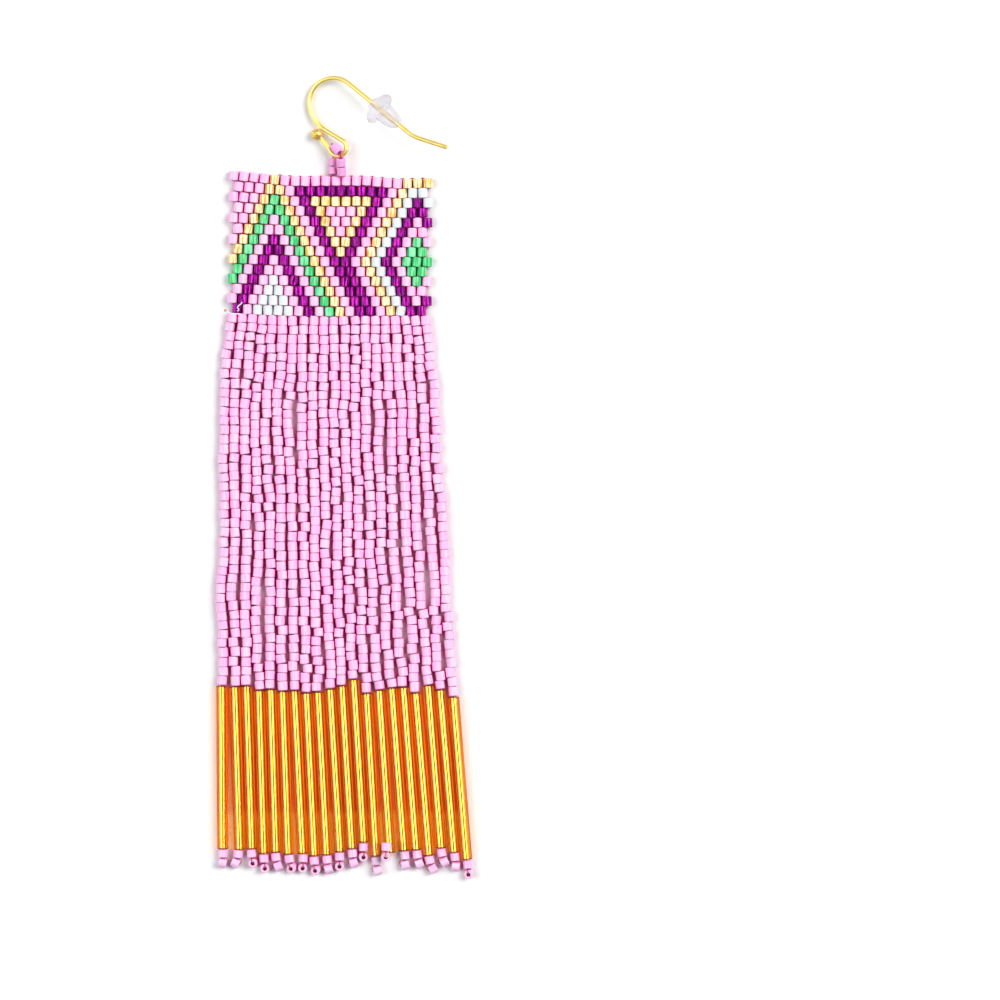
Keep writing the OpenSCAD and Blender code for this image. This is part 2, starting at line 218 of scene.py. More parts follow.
# Both ends of each bead of the loop, in millimetres, before the earring is centred.
loop_beads = [
    [(-1.76, 47.42, 0.72), (-1.79, 48.6, 0.72)],
    [(-1.79, 48.72, 0.72), (-1.79, 49.87, 0.72)],
    [(-0.73, 50.7, 2.67), (-1.65, 51.82, 1.95)],
    [(-0.5, 48.68, 2.12), (-0.53, 49.82, 2.68)],
    [(-0.42, 47.28, 1.47), (-0.48, 48.55, 2.06)],
]
centring = Vector((-0.073, -0.165, 0))
loop_girth = 1.44
seed_girth, seed_length, seed_bore, seed_rim = 1.5, 1.0, 0.7, 0.08
seed_sides = 10
sharp_angle = 0.65  # edges that turn by more than this, in radians, stay crisp


def drilled_beads(finishes):
    """Node tree that sets a drilled glass bead on each point, its hole along the point's aim."""
    tree = bpy.data.node_groups.new("drilled_beads", "GeometryNodeTree")
    kinds = {"Points": "Geometry", "Girth": "Float", "Length": "Float", "Bore": "Float",
             "Rounding": "Float", "Sides": "Int"}
    kinds.update({name: "Material" for name in finishes + ["Bore finish"]})
    for name, kind in kinds.items():
        tree.interface.new_socket(name, in_out="INPUT", socket_type="NodeSocket" + kind)
    tree.interface.new_socket("Beads", in_out="OUTPUT", socket_type="NodeSocketGeometry")
    given = {socket.name: Flow(tree, socket) for socket in tree.nodes.new("NodeGroupInput").outputs}
    girth, length, bore = given["Girth"], given["Length"], given["Bore"]
    node = partial(Flow.node, tree)

    def is_more(value, limit):
        return node("FunctionNodeCompare", {0: value, 1: limit}, operation="GREATER_THAN")

    def stored(name, kind):
        return node("GeometryNodeInputNamedAttribute", {"Name": name}, data_type=kind)

    # The wall's section, rounded at its outer rims, is carried round the hole.
    path = node("GeometryNodeCurvePrimitiveCircle", {
        "Resolution": given["Sides"], "Radius": 0.25 * (girth + bore)})
    path = node("GeometryNodeSetCurveNormal", {"Curve": path}, mode="Z_UP")
    wall = node("GeometryNodeCurvePrimitiveQuadrilateral", {
        "Width": 0.5 * (girth - bore), "Height": length})
    place = node("GeometryNodeInputPosition")
    outer = is_more(place.parts()[0], 0.0)
    wall = node("GeometryNodeFilletCurve", {
        "Curve": wall, "Count": outer, "Radius": given["Rounding"], "Limit Radius": True}, mode="POLY")
    bead = node("GeometryNodeCurveToMesh", {"Curve": path, "Profile Curve": wall})
    sharp = is_more(node("GeometryNodeInputMeshEdgeAngle"), sharp_angle)
    bead = node("GeometryNodeSetShadeSmooth", {0: bead, 1: sharp, 2: False}, domain="EDGE")
    bead = node("GeometryNodeStoreNamedAttribute", {
        "Geometry": bead, "Name": "bead_place", "Value": place}, data_type="FLOAT_VECTOR", domain="POINT")

    turn = node("FunctionNodeAlignRotationToVector", {"Vector": stored("aim", "FLOAT_VECTOR")}, axis="Z")
    beads = node("GeometryNodeInstanceOnPoints", {
        "Points": given["Points"], "Instance": bead, "Rotation": turn,
        "Scale": stored("swell", "FLOAT_VECTOR")})
    beads = node("GeometryNodeRealizeInstances", {0: beads})
    for tone, name in enumerate(finishes):
        of_tone = {2: stored("tone", "INT"), 3: tone}
        same = node("FunctionNodeCompare", of_tone, data_type="INT", operation="EQUAL")
        beads = node("GeometryNodeSetMaterial", {0: beads, "Selection": same, "Material": given[name]})
    # Faces of the bore are told by their distance from the hole's line.
    x, y, z = stored("bead_place", "FLOAT_VECTOR").parts()
    inside = is_more(0.55 * bore, (x * x + y * y).maths("SQRT"))
    beads = node("GeometryNodeSetMaterial", {
        0: beads, "Selection": inside, "Material": given["Bore finish"]})
    feed(tree.nodes.new("NodeGroupOutput"), 0, beads)
    return tree


def grown(name, places, tree, inputs, attributes):
    """Plain mesh object of what the tree makes on points at the given places, in metres."""
    points = bpy.data.meshes.new(name)
    points.from_pydata([tuple(place) for place in places], [], [])
    kinds = {"aim": "FLOAT_VECTOR", "swell": "FLOAT_VECTOR", "tone": "INT", "grain": "FLOAT"}
    for key, values in attributes.items():
        layer = points.attributes.new(key, kinds[key], "POINT")
        field = "vector" if kinds[key] == "FLOAT_VECTOR" else "value"
        number = np.int32 if kinds[key] == "INT" else np.float32
        layer.data.foreach_set(field, np.array(values, number).ravel())
    carrier = bpy.data.objects.new(name + "_points", points)
    bpy.context.scene.collection.objects.link(carrier)
    modifier = carrier.modifiers.new("grow", "NODES")
    modifier.node_group = tree
    for socket in tree.interface.items_tree:
        if socket.in_out == "INPUT" and socket.name in inputs:
            modifier[socket.identifier] = inputs[socket.name]
    graph = bpy.context.evaluated_depsgraph_get()
    mesh = bpy.data.meshes.new_from_object(carrier.evaluated_get(graph))
    mesh.name = name
    if not mesh.materials[0]:
        # Where beads were joined, an empty first slot is left that no face uses.
        mesh.materials.pop(index=0)
    carrier.modifiers.remove(modifier)
    bpy.data.objects.remove(carrier)
    piece = bpy.data.objects.new(name, mesh)
    bpy.context.scene.collection.objects.link(piece)
    return piece


def on_bead(tree):
    """Place on a bead as it was drilled, with its hole along z."""
    return Flow.node(tree, "ShaderNodeAttribute", out="Vector", attribute_name="bead_place")


def grain_of(tree):
    """Each bead's own number from 0 to 1, by which it differs from its like."""
    return Flow.node(tree, "ShaderNodeAttribute", out="Fac", attribute_name="grain")


def bead_glass(name, face, streak_and_glint, painted_half_shade, painted_deep_shade, gloss,
               streaks=0.5, spread=0.5, fineness=2600, foil=0.0, haze=0.06):
    """Glass of a seed bead: its colour, the streaks along its hole with painted glints among them, and
    painted shade between beads.
    """
    material, tree, shader = finish(name, Metallic=foil, Coat_Roughness=0.12, Specular_IOR_Level=0.0)
    x, y, z = on_bead(tree).parts()
    grain = grain_of(tree)
    # Streaks and clouds are drawn out along the hole, and shifted so that no two beads are alike. Their
    # colour is partly the glass's own drawn streaks and partly painted glints.
    spot = Flow.vector(x + 0.031 * grain, y, 0.12 * z + 0.017 * grain)
    drawn = noise(spot, scale=fineness, detail=2)
    cloud = noise(spot, scale=700, detail=1)
    colour = ((drawn - 0.5) * 4.0 * streaks + spread).held().blend(face, streak_and_glint)
    tint = (0.5 + (grain - 0.5) * haze * 4 + (cloud - 0.5) * haze * 3).held()
    colour = Flow.node(tree, "ShaderNodeHueSaturation", {
        "Hue": 0.5 + (grain - 0.5) * 0.012, "Value": 0.92 + 0.14 * tint, "Color": colour})
    # Painted shade: light that reaches a gap between beads has been through glass, so the colour is
    # painted a deeper tone where a bead lies close to others.
    open_air = Flow.node(tree, "ShaderNodeAmbientOcclusion", {"Distance": 1.2 * MM}, out="AO", samples=8)
    in_half_shade = open_air.ramp(0.68, 0.394)
    in_deep_shade = open_air.ramp(0.42, 0.17)
    feed(shader, "Base Color", in_deep_shade.blend(in_half_shade.blend(colour, painted_half_shade), painted_deep_shade))
    feed(shader, "Coat Weight", (1 - in_deep_shade) * gloss)
    feed(shader, "Roughness", (0.3 + 0.16 * drawn + in_deep_shade).held())
    bump(shader, drawn, depth=0.02 * MM, strength=0.6)
    return material


# Each glass has colours for its face and its streaks, and two of painted shade for where beads lie close
# together.
pink_glass = bead_glass(
    "pink_glass", face=rgb(254, 180, 230), streak_and_glint=rgb(232, 206, 231),
    painted_half_shade=rgb(246, 120, 196), painted_deep_shade=rgb(216, 26, 132), gloss=0.15, streaks=1.2, haze=0.08)
# The bores take a deeper pink, painted shade inside the holes.
shaded_bore_glass = bead_glass(
    "shaded_bore_glass", face=rgb(236, 60, 134), streak_and_glint=rgb(226, 40, 110),
    painted_half_shade=rgb(214, 24, 92), painted_deep_shade=rgb(186, 6, 60), gloss=0.1)
# The loop's beads are the same pink glass, painted deeper for the shade they stand in above the table.
shaded_loop_glass = bead_glass(
    "shaded_loop_glass", face=rgb(246, 162, 220), streak_and_glint=rgb(236, 178, 224),
    painted_half_shade=rgb(228, 84, 160), painted_deep_shade=rgb(160, 4, 70), gloss=0.2)
seed_tree = drilled_beads(["Glass"])
seed_inputs = {
    "Girth": seed_girth * MM, "Length": seed_length * MM, "Bore": seed_bore * MM,
    "Rounding": seed_rim * MM, "Sides": seed_sides, "Glass": pink_glass, "Bore finish": shaded_bore_glass}
# All that is left to chance is drawn in one fixed order, so each run makes the same earring.
chance = random.Random(7)


def seed_beads(name, ends, girth, replaced, inputs=seed_inputs):
    """Pink seed beads from one end to the other of each given pair, in millimetres."""
    places, aims, swells = [], [], []
    for a, b in ends:
        places.append((a + b) / 2 * MM)
        aims.append((b - a).normalized())
        swells.append((girth / seed_girth, girth / seed_girth, (b - a).length / seed_length))
    grains = [chance.random() for _ in ends]
    facts = {"aim": aims, "swell": swells, "tone": [0] * len(ends), "grain": grains}
    piece = grown(name, places, seed_tree, inputs, facts)
    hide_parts(replaced)
    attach(piece, "earring")


loop_ends = [[Vector(a) + centring, Vector(b) + centring] for a, b in loop_beads]
seed_beads("loop_beads", loop_ends, loop_girth, "hanger_beads", dict(seed_inputs, Glass=shaded_loop_glass))


def spun_thread(name, first, second):
    """Waxed thread, laid up from fine strands."""
    material, tree, shader = finish(name, Sheen_Weight=0.3)
    strands = noise(object_place(tree), scale=9000, detail=4)
    feed(shader, "Base Color", strands.blend(first, second))
    feed(shader, "Roughness", 0.5 + 0.3 * strands)
    bump(shader, strands, depth=0.03 * MM)
    return material


plum_thread = spun_thread("plum_thread", rgb(196, 20, 88), rgb(150, 10, 60))
coat(nodes["hanger_thread"], plum_thread)


# Woven panel.
# The panel is brick stitch: rows of cylindrical seed beads, each row half a bead
# off the last, sewn bead by bead with thread that runs between the rows. The
# colours make stepped bands, as such weaving does. It is a little out of square.

rows, longer_row = 14, 20
bead_pitch, row_pitch = 1.594, 1.566  # from bead to bead and from row to row, in millimetres
middle_column = (longer_row - 1) / 2
top_row_x, top_row_y = -2.11, 46.36  # middle of the first row, before centring
step_aside = 0.02  # how far each row lies to the left of the last
top_tilt, foot_tilt = 2, 0.8  # slope of the first row and of the last, in degrees
panel_girth, panel_length, panel_bore, panel_rim = 1.55, 1.5, 0.7, 0.09
half_bead = 0.76  # about half a bead's length, by which its nod lifts it
panel_widths, panel_lengths = (0.97, 1.01), (0.96, 1.02)  # shares of the full girth and length
white_width, white_length = 1.0, 1.035
panel_stray, panel_off_table = 0.03, (0.01, 0.03)
panel_lean, panel_nod = 2.8, 0.02  # spread of the leans, in degrees, and of the nods
# Lift of the weave off a straight grid, in millimetres, at seven places across
# the top row, the seventh row and the bottom row.
lift_at = [0, 3, 6, 10, 13, 16, 19]
lifts = {0: [0.33, 0, -0.27, 0, 0.18, -0.09, 0.2],
         6: [0, 0, -0.06, -0.06, 0, 0.1, 0.2],
         13: [0.34, 0.1, 0, 0, 0.15, 0.25, 0.33]}

# The bands of each figure, from its rim inwards for the peak and the triangle,
# and from its middle outwards for the diamond.
tones = ["Pink", "Purple", "Gold", "Green", "White"]
PINK, PURPLE, GOLD, GREEN, WHITE = range(5)
peak_column, peak_bands = 4, [GOLD, GREEN, PINK, PURPLE, PINK, WHITE]
triangle_column, triangle_bands = 10.5, [PURPLE, GOLD, PINK]
diamond_column, diamond_row = 18, 8
diamond_bands = [GREEN, GREEN, PINK, PURPLE, WHITE, GOLD, PINK]


def tone_of(row, column):
    """Colour of a bead, by stepped bands round a peak, a diamond and a triangle."""
    peak = row / 2 - abs(column - peak_column)
    if peak >= 0:
        return peak_bands[min(int(peak), 5)]
    diamond = abs(column - diamond_column) + abs(row - diamond_row) / 2
    if diamond <= 6:
        at_tip = row == 0 and column == diamond_column
        return GOLD if at_tip else diamond_bands[math.ceil(diamond)]
    triangle = 5 - (row + 1) / 2 - abs(column - triangle_column)
    if row >= 1 and triangle >= 0:
        return triangle_bands[min(row - 1, int(triangle), 2)]
    # A purple stripe, two beads wide, runs from the triangle's point down to the right.
    if row >= 8 and column - (row + 1) / 2 in (5.5, 6.5):
        return PURPLE
    return PINK


def weave_lift(row, column):
    """Lift of the weave at a row and column, in millimetres."""
    upper, lower = (0, 6) if row < 6 else (6, 13)
    share = (row - upper) / (lower - upper)
    a = np.interp(column, lift_at, lifts[upper])
    b = np.interp(column, lift_at, lifts[lower])
    return a + (b - a) * share


def row_line(row):
    """Tilt of a row in radians, and the middle of the row at half a bead's height, in millimetres."""
    tilt = math.radians(top_tilt + (foot_tilt - top_tilt) * row / (rows - 1))
    middle = (top_row_x - step_aside * row, top_row_y - row_pitch * row, panel_girth / 2)
    return tilt, Vector(middle) + centring


places, aims, swells, looks = [], [], [], []
for row in range(rows):
    count = longer_row - row % 2
    tilt, middle = row_line(row)
    for k in range(count):
        column = k + row % 2 / 2
        tone = tone_of(row, column)
        along = bead_pitch * (k - (count - 1) / 2)
        x = middle.x + along * math.cos(tilt) + chance.uniform(-panel_stray, panel_stray)
        y = middle.y - along * math.sin(tilt) + weave_lift(row, column)
        y += chance.uniform(-panel_stray, panel_stray)
        slope = weave_lift(row, column + 0.5) - weave_lift(row, column - 0.5)
        lean = tilt - slope / bead_pitch + math.radians(chance.gauss(0, panel_lean))
        width = white_width if tone == WHITE else chance.uniform(*panel_widths)
        nod = chance.gauss(0, panel_nod)
        z = panel_girth / 2 * width + half_bead * abs(nod) + chance.uniform(*panel_off_table)
        length = white_length if tone == WHITE else chance.uniform(*panel_lengths)
        places.append(Vector((x, y, z)) * MM)
        aims.append((math.sin(-lean), -math.cos(lean), nod))
        swells.append((width, width, length))
        looks.append(tone)

# These glasses too take painted shade for the gaps between beads and painted glints in their streaks.
purple_glass = bead_glass(
    "purple_glass", face=rgb(98, 0, 98), streak_and_glint=rgb(206, 36, 186), painted_half_shade=rgb(80, 0, 74),
    painted_deep_shade=rgb(52, 0, 24), gloss=0.15, streaks=1.6, spread=0.3, fineness=4200, foil=0.35)
gold_glass = bead_glass(
    "gold_glass", face=rgb(255, 244, 200), streak_and_glint=rgb(230, 168, 66), painted_half_shade=rgb(222, 160, 74),
    painted_deep_shade=rgb(112, 30, 4), gloss=0.3, streaks=1.6, spread=0.35, fineness=4200, foil=0.2)
green_glass = bead_glass(
    "green_glass", face=rgb(60, 188, 110), streak_and_glint=rgb(142, 238, 176), painted_half_shade=rgb(44, 160, 96),
    painted_deep_shade=rgb(6, 70, 36), gloss=0.2, streaks=1.1, spread=0.4, foil=0.1)
white_glass = bead_glass(
    "white_glass", face=rgb(213, 218, 222), streak_and_glint=rgb(230, 234, 237), painted_half_shade=rgb(212, 209, 217),
    painted_deep_shade=rgb(166, 146, 162), gloss=0.2, streaks=0.4)
panel_inputs = {
    "Girth": panel_girth * MM, "Length": panel_length * MM, "Bore": panel_bore * MM,
    "Rounding": panel_rim * MM, "Sides": seed_sides, "Pink": pink_glass, "Purple": purple_glass,
    "Gold": gold_glass, "Green": green_glass, "White": white_glass, "Bore finish": shaded_bore_glass}
facts = {"aim": aims, "swell": swells, "tone": looks, "grain": [chance.random() for _ in places]}
panel = grown("woven_panel", places, drilled_beads(tones), panel_inputs, facts)
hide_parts("panel")
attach(panel, "earring")


seam_swing = 0.12  # how far the thread goes up and down between the beads
# Course of a bight of thread over the top edge, from the place where two beads meet.
bight = [(-0.42, -0.16, 0), (-0.2, 0, 0.1), (0.1, 0.02, 0.1), (0.34, -0.16, 0)]


def thread(name, routes, material):
    """Fine threads of the given (points, radius) pairs in millimetres, as one mesh."""
    curve = bpy.data.curves.new(name, "CURVE")
    curve.dimensions = "3D"
    curve.bevel_depth = 1.0
    curve.bevel_resolution = 1
    curve.use_fill_caps = True
    for points, radius in routes:
        spline = curve.splines.new("POLY")
        spline.points.add(len(points) - 1)
        for knot, (x, y, z) in zip(spline.points, points):
            knot.co = (x * MM, y * MM, z * MM, 1)
            knot.radius = radius * MM
    holder = bpy.data.objects.new(name + "_curve", curve)
    bpy.context.scene.collection.objects.link(holder)
    graph = bpy.context.evaluated_depsgraph_get()
    mesh = bpy.data.meshes.new_from_object(holder.evaluated_get(graph))
    mesh.name = name
    bpy.data.objects.remove(holder)
    mesh.materials.clear()
    mesh.materials.append(material)
    mesh.polygons.foreach_set("use_smooth", [True] * len(mesh.polygons))
    piece = bpy.data.objects.new(name, mesh)
    bpy.context.scene.collection.objects.link(piece)
    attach(piece, "earring")


def seam(level):
    """Course of the thread that goes in and out by half beads. Level 0.5 is half a row under the first."""
    tilt, middle = row_line(level)
    points = []
    for half in range(1, 2 * longer_row - 2):
        column = half / 2
        along = bead_pitch * (column - middle_column)
        y = middle.y - along * math.sin(tilt) + weave_lift(min(max(level, 0), rows - 1), column)
        points.append((middle.x + along * math.cos(tilt), y, panel_girth / 2 + seam_swing * (-1) ** half))
    return points


dusty_thread = spun_thread("dusty_thread", rgb(190, 60, 120), rgb(150, 30, 90))
white_thread = spun_thread("white_thread", rgb(252, 244, 250), rgb(236, 224, 238))
burnt_thread = spun_thread("burnt_thread", rgb(250, 170, 96), rgb(150, 70, 20))
thread("panel_thread", [(seam(row + 0.5), 0.1) for row in range(rows)], dusty_thread)
# Bights show over the top edge from the fifth meeting of two beads to the last.
meetings = seam(-0.5)[8::2]
bights = [[(x + dx, y + dy, z + dz) for dx, dy, dz in bight] for x, y, z in meetings]
thread("top_thread", [(course, 0.11) for course in bights], plum_thread)
# Left on the face of the weave: a loose end with its tip singed, a knot and two snips.
loose_end = [(-18.6, 26.0, 1.5), (-18.42, 25.86, 1.52), (-18.21, 25.72, 1.52), (-17.95, 25.6, 1.5),
             (-17.6, 25.53, 1.47), (-17.03, 25.47, 1.45), (-16.6, 25.45, 1.42), (-16.3, 25.45, 1.3)]
loose_knot = [(-16.0, 27.26, 1.5), (-16.2, 27.0, 1.64), (-16.42, 26.84, 1.66), (-16.68, 26.62, 1.66),
              (-16.74, 26.4, 1.66), (-16.54, 26.26, 1.66), (-16.5, 26.1, 1.64), (-16.74, 25.92, 1.6)]
snips = [[(-11.7, 25.3, 1.5), (-11.4, 25.2, 1.56), (-11.1, 25.24, 1.5)],
         [(-5.3, 25.12, 1.5), (-5.02, 25.04, 1.56), (-4.75, 25.1, 1.5)]]
singed = [(-18.78, 25.95, 1.46), (-18.62, 26.02, 1.5), (-18.5, 25.93, 1.52)]
white_ends = [(loose_end, 0.11), (loose_knot, 0.09)] + [(snip, 0.08) for snip in snips]
thread("thread_ends", white_ends, white_thread)
thread("singed_tip", [(singed, 0.2)], burnt_thread)


# Fringe strings.
# Twenty strings hang from the panel's bottom row. Each is a run of pink seed
# beads on one thread, loose enough to sway, so the beads sit a little crooked.

strings = 20
string_pitch = 1.459  # usual room of a bead on its string, in millimetres
string_lengths = (0.9, 1.1)  # shares of that room
string_widths = (1.5, 1.6)  # usual width of one string's beads
width_spread = (-0.02, 0.03)  # how far a bead's width is off its string's
string_lean, string_nod = 3.8, 0.015
usual_stray, most_stray = 0.12, 0.24  # how far beads sit to the side of their string's line
rim_reach = 0.72  # from a bead's middle to the rim on which it leans
neighbour_reach = 1.3  # beads of the last string within this height lie beside the new one
next_string = 0.74  # half a bead, kept free up to the next string's line
room_left, room_right = 2, 1  # room at a side where no string lies
close_gap = 0.24  # strings that hang this close lie against each other
side_gap, end_gap, panel_gap = 0.01, 0.015, 0.01
string_off_table = (0.005, 0.03)


def rings_of(node):
    """Centres of the rings of a packed string, from its top to its foot, in millimetres."""
    levels = {}
    for v in nodes[node].data.vertices:
        levels.setdefault(round(v.co.y * 1e6), []).append(v.co.x)
    return [((min(xs) + max(xs)) / 2 / MM, y / 1000) for y, xs in sorted(levels.items(), reverse=True)]


lines = [np.array(rings_of(f"strand_{number:02d}")) for number in range(1, strings + 1)]


def across(line, y):
    """Place from left to right of a string at a height."""
    return float(np.interp(y, line[::-1, 1], line[::-1, 0]))


def under_the_panel(x):
    """Height of the panel's lower edge at a place from left to right."""
    tilt, middle = row_line(rows - 1)
    column = middle_column + (x - middle.x) / bead_pitch
    lift = weave_lift(rows - 1, column)
    return middle.y - (x - middle.x) * math.sin(tilt) + lift - panel_length / 2 - panel_gap


settled = []
for number, line in enumerate(lines, 1):
    # A bead leans against the next one at one edge of its rim, so a leaning bead takes more of the string.
    top, foot = under_the_panel(line[0, 0]), line[-1, 1]
    count = round((top - foot) / string_pitch)
    leans = [chance.gauss(0, string_lean) for _ in range(count)]
    wedges = [rim_reach * abs(math.radians(b - a)) for a, b in zip(leans, leans[1:])] + [0]
    lengths = np.array([chance.uniform(*string_lengths) for _ in range(count)])
    lengths *= (top - foot - sum(wedges)) / lengths.sum()
    usual_width = chance.uniform(*string_widths)
    places, aims, swells, right_edges = [], [], [], []
    y = top
    for lean, wedge, length in zip(leans, wedges, lengths):
        middle = y - length / 2
        y -= length + wedge
        x = across(line, middle) + max(-most_stray, min(most_stray, chance.gauss(0, usual_stray)))
        beside = [edge for height, edge in settled if abs(height - middle) < neighbour_reach]
        left = max(beside) if beside else x - room_left
        right = across(lines[number], middle) - next_string if number < strings else x + room_right
        width = min(usual_width + chance.uniform(*width_spread), right - left)
        x = max(left + width / 2, min(right - width / 2, x))
        if x - width / 2 - left < close_gap:
            x = left + width / 2 + side_gap
        heading = math.atan2(across(line, middle - 1) - across(line, middle + 1), 2) + math.radians(lean)
        nod = chance.gauss(0, string_nod)
        z = width / 2 + half_bead * abs(nod) + chance.uniform(*string_off_table)
        places.append((x * MM, middle * MM, z * MM))
        aims.append((math.sin(heading), -math.cos(heading), nod))
        swells.append((width / seed_girth, width / seed_girth, (length - end_gap) / seed_length))
        right_edges.append((middle, x + width / 2))
    settled = right_edges
    grains = [chance.random() for _ in range(count)]
    facts = {"aim": aims, "swell": swells, "tone": [0] * count, "grain": grains}
    string = grown(f"string_{number:02d}", places, seed_tree, seed_inputs, facts)
    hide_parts(f"strand_{number:02d}")
    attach(string, "earring")


# Glass tubes.
# Each string ends in a long bead cut from drawn amber tube, with silver fired on
# the wall of its hole, so that it gleams yellow down its middle, with painted
# reflection beside the lining, and shows the deep amber of the bare glass at its sides.

tube_girth, tube_length, tube_bore, tube_rim = 1.76, 25.4, 0.8, 0.09
tube_sides = 28
# Along the tube, where the painted shade at the cut end starts and where it is full.
end_shade_span = ((tube_length / 2 - 0.2) * MM, (tube_length / 2 - tube_rim) * MM)


def amber_glass():
    """Clear amber glass, cloudier and redder towards its sides, painted yellow beside the lining for its
    reflection, and with painted shade at its cut ends.
    """
    clear, warm, lamp_tint = rgb(255, 252, 240), rgb(255, 246, 226), rgb(242, 226, 224)
    deep, orange, yellow, painted_end_shade = rgb(134, 22, 0), rgb(250, 112, 0), rgb(230, 142, 4), rgb(104, 18, 0)
    material, tree, shader = finish("amber_glass", IOR=1.5, Transmission_Weight=1.0, Roughness=0.03)
    place = on_bead(tree)
    feed(shader, "Base Color", noise(place, scale=260, detail=2).blend(clear, warm))
    bump(shader, noise(place, scale=900), depth=0.01 * MM)
    x, y, z = place.parts()
    streaks = noise(Flow.vector(x, y, 0.03 * z), scale=3000, detail=2)
    # Painted shade darkens the glass at its cut ends, where it meets the beads.
    in_end_shade = z.maths("ABSOLUTE").ramp(*end_shade_span)
    # The slant is 0 where the glass is seen straight on and 1 where it is seen along its surface.
    slant = Flow.node(tree, "ShaderNodeLayerWeight", {"Blend": 0.5}, out="Facing")
    colour = ((streaks - 0.5) * 4.5 + 0.66 - 0.6 * grain_of(tree)).held().blend(deep, orange)
    # Painted reflection: beside the lining the glass is painted yellow for the lining's gleam seen through
    # it.
    painted_lining_gleam = slant.ramp(0.56, 0.338).held(high=0.9)
    colour = painted_lining_gleam.blend(colour, yellow)
    cloudy = Flow.node(tree, "ShaderNodeBsdfPrincipled", {
        "Base Color": in_end_shade.blend(colour, painted_end_shade), "Roughness": 0.3, "Specular IOR Level": 0.05})
    share = slant.ramp(0.19, 0.453).held(0.02, 0.9).maths("MAXIMUM", 0.85 * in_end_shade)
    glass = Flow(tree, shader.outputs[0])
    clear_to_lamps(Flow.node(tree, "ShaderNodeMixShader", {0: share, 1: glass, 2: cloudy}), lamp_tint)
    body = Flow.node(tree, "ShaderNodeVolumeAbsorption", {"Color": (0.99, 0.85, 0.12, 1), "Density": 2600})
    feed(tree.nodes["Material Output"], "Volume", body)
    return material


def silver_lining():
    """Silver on the wall of the hole, seen through the yellow of the glass, with fine drawn streaks."""
    bright_silver, warm_silver = rgb(252, 240, 206), rgb(236, 212, 156)
    material, tree, shader = finish("silver_lining", Metallic=1.0)
    x, y, z = on_bead(tree).parts()
    streaks = noise(Flow.vector(x, y, 0.04 * z), scale=3000, detail=2)
    feed(shader, "Base Color", streaks.blend(bright_silver, warm_silver))
    feed(shader, "Roughness", 0.1 + 0.16 * streaks)
    return material


def ends_of(node):
    """Centres of the top and foot of a packed tube, in millimetres."""
    corners = np.array(sorted({tuple(round(c, 7) for c in v.co) for v in nodes[node].data.vertices}))
    heights = corners[:, 1]
    middle = (heights.min() + heights.max()) / 2
    ends = []
    for end in (corners[heights > middle], corners[heights <= middle]):
        centre = (end.min(axis=0) + end.max(axis=0)) / 2
        centre[1] = end[:, 1].mean()
        ends.append(Vector(centre) / MM)
    return ends


tube_inputs = {
    "Girth": tube_girth * MM, "Length": tube_length * MM, "Bore": tube_bore * MM,
    "Rounding": tube_rim * MM, "Sides": tube_sides, "Glass": amber_glass(), "Bore finish": silver_lining()}
tube_ends = [ends_of(f"bugle_{number:02d}") for number in range(1, strings + 1)]
for number, (top, foot) in enumerate(tube_ends, 1):
    way = (foot - top).normalized()
    facts = {"aim": [way], "swell": [(1, 1, 1)], "tone": [0], "grain": [chance.random()]}
    tube = grown(f"tube_{number:02d}", [(top + foot) / 2 * MM], seed_tree, tube_inputs, facts)
    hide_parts(f"bugle_{number:02d}")
    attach(tube, "earring")


# Feet of the strings.
# Under each tube the thread takes one bead in line and one turned crosswise,
# which stops it, and goes back up. The turned beads lie as they fell.

# Each foot is [reach, lean, onward, roll, lift]: how far from its tube the in-line
# bead sits, its direction, the direction on to the turned bead, the roll of that
# bead's hole, and how far both are lifted, in millimetres and degrees.
feet = [
    [0.72, 0, -2, 0, 0], [0.74, -22, -17, 0, 0], [0.72, -2, 10, 100, 0], [0.8, 0, 2, 80, 0],
    [0.74, 0, 14, 180, 0], [0.72, 14, 16, 110, 0], [0.74, 9, -5, 85, 0], [0.76, -4, 11, 105, 0],
    [0.74, 6, 8, 180, 0], [0.74, -6, 0, 90, 0], [0.76, 8, 8, 180, 0], [0.78, -2, -3, 80, 0],
    [0.76, 3, 8, 180, 0], [1.13, -150, -3, 90, 1.62], [0.74, 8, 4, 180, 0], [0.76, 16, 13, 180, 0],
    [0.72, 4, 22, 180, 0], [0.74, 10, 16, 180, 0], [0.76, 12, 4, 0, 0], [0.8, 14, 7, 100, 0],
]
in_line_girth, turned_girth = 1.5, 1.44
half_length, towards_tube = 0.62, 0.64  # a bead's half length, and a hair more up to the tube
stop_reach = 1.47  # from the middle of the in-line bead to the turned one's
stop_dip = math.radians(10)  # how far a turned bead's hole is off square


def heading_of(degrees):
    """Direction on the table, from straight down the picture towards the right."""
    a = math.radians(degrees)
    return Vector((math.sin(a), -math.cos(a), 0))


in_line, turned = [], []
for (top, foot), (reach, lean, onward, roll, lift) in zip(tube_ends, feet):
    way = heading_of(onward)
    spot = foot + reach * heading_of(lean)
    spot.z = tube_girth / 2 + lift if lift else in_line_girth / 2
    aim = way if lift else ((foot - top).normalized() + way).normalized()
    in_line.append([spot - towards_tube * aim, spot + half_length * aim])
    angle = math.radians(roll)
    side = Vector((-way.y, way.x, 0))
    square = math.cos(angle) * side + Vector((0, 0, math.sin(angle)))
    hole = math.cos(stop_dip) * square + math.sin(stop_dip) * way
    last = spot + stop_reach * way
    if not lift:
        last.z = turned_girth / 2 * math.sqrt(1 - hole.z ** 2) + half_length * abs(hole.z)
    turned.append([last - half_length * hole, last + half_length * hole])

seed_beads("in_line_beads", in_line, in_line_girth, "foot_beads")
seed_beads("turned_beads", turned, turned_girth, "stop_beads")
coat(nodes["fringe_thread"], plum_thread)


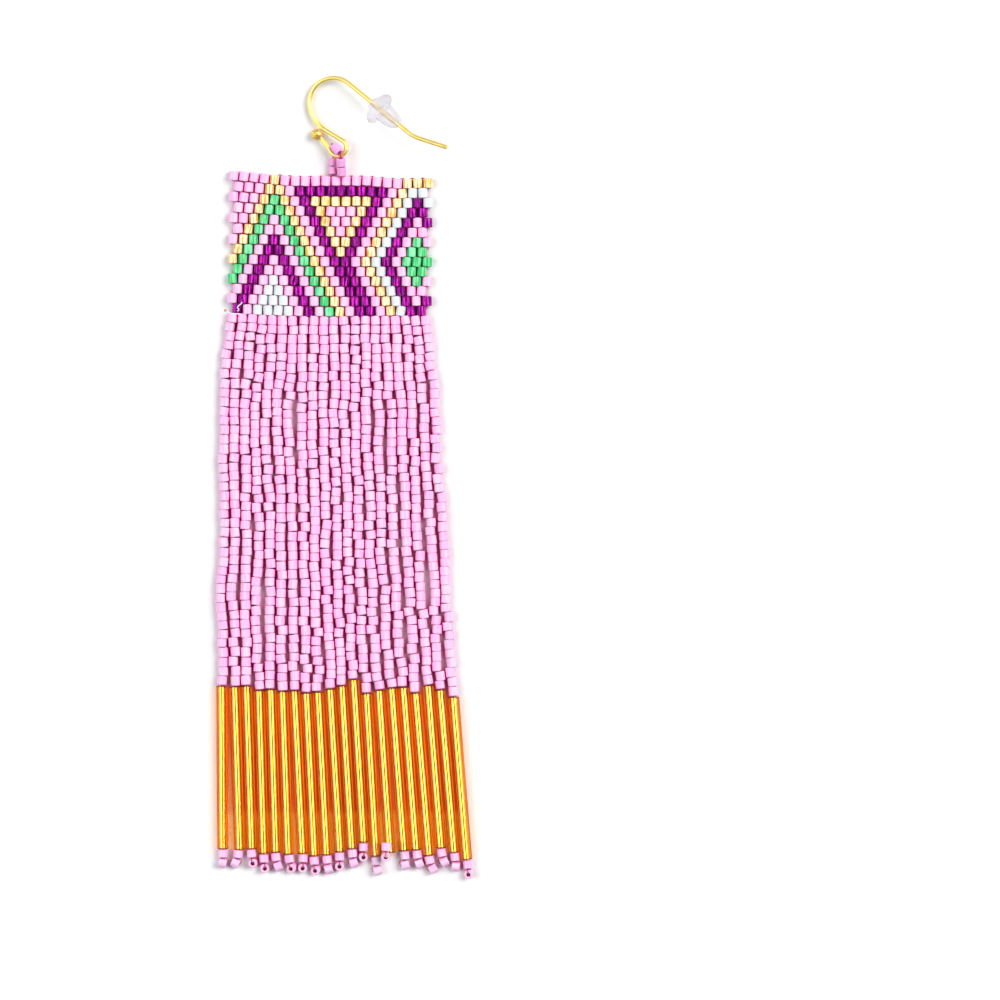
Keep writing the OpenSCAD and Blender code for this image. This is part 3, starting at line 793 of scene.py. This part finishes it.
# Table, light and camera.
# The earring lies on a plain white table under broad soft light from the upper
# right, seen from straight above.

# Up the table, where the painted red shade on the paper under the beads starts and where it is full.
red_shade_top, red_shade_foot = (48 * MM, 47 * MM), (-53 * MM, -51.75 * MM)
paper_white, paper_shade, painted_red_shade = rgb(238, 238, 239), rgb(236, 236, 238), rgb(214, 96, 160)

bpy.ops.mesh.primitive_plane_add(size=8.0, location=(0, 0, 0))
table = bpy.context.object
table.name = "table"
table_white, tree, shader = finish("table_white", Roughness=0.7)
# In the narrow gaps under the beads the paper is painted with red shade, for the light that has been
# through the glass and falls red there.
place = object_place(tree)
up = place.parts()[1]
open_air = Flow.node(tree, "ShaderNodeAmbientOcclusion", {"Distance": 1.5 * MM}, out="AO", samples=8)
under_beads = up.ramp(*red_shade_top) * up.ramp(*red_shade_foot).held(low=0.2)
white = noise(place, scale=40).blend(paper_white, paper_shade)
feed(shader, "Base Color", (under_beads * open_air.ramp(0.46, 0.21)).blend(white, painted_red_shade))
table.data.materials.append(table_white)

# The room is dim overhead and pale low down, as inside a light tent with an open top.
world = bpy.data.worlds.new("studio")
world.use_nodes = True
background = world.node_tree.nodes["Background"]
background.inputs["Color"].default_value = (0.96, 0.98, 1.0, 1)
height = Flow.node(world.node_tree, "ShaderNodeTexCoord", out="Generated").parts()[2]
feed(background, "Strength", 0.11 + 0.8 * (1 - height.maths("ABSOLUTE")).maths("POWER", 6))
bpy.context.scene.world = world


def softbox(name, place, size, power, tint):
    """Square lamp, turned to the middle of the table."""
    light = bpy.data.lights.new(name, "AREA")
    light.size = size
    light.energy = power
    light.color = tint
    lamp = bpy.data.objects.new(name, light)
    lamp.location = place
    lamp.rotation_euler = (-Vector(place)).to_track_quat("-Z", "Y").to_euler()
    bpy.context.scene.collection.objects.link(lamp)


softbox("right_softbox", place=(1.25, 0.6, 1.45), size=1.38, power=45, tint=(1.0, 0.99, 0.97))
softbox("left_softbox", place=(-1.35, 0.15, 1.4), size=1.5, power=29.6, tint=(0.98, 0.99, 1.0))

# From this height the lens takes in 156 mm of the table, as the photograph does.
camera = bpy.data.cameras.new("camera")
camera.lens = 277
camera.sensor_width = 36
camera.clip_start = 0.01
eye = bpy.data.objects.new("camera", camera)
eye.location = (0.02416, -0.00352, 1.2)
bpy.context.scene.collection.objects.link(eye)
bpy.context.scene.camera = eye
bpy.context.scene.view_settings.view_transform = "Standard"
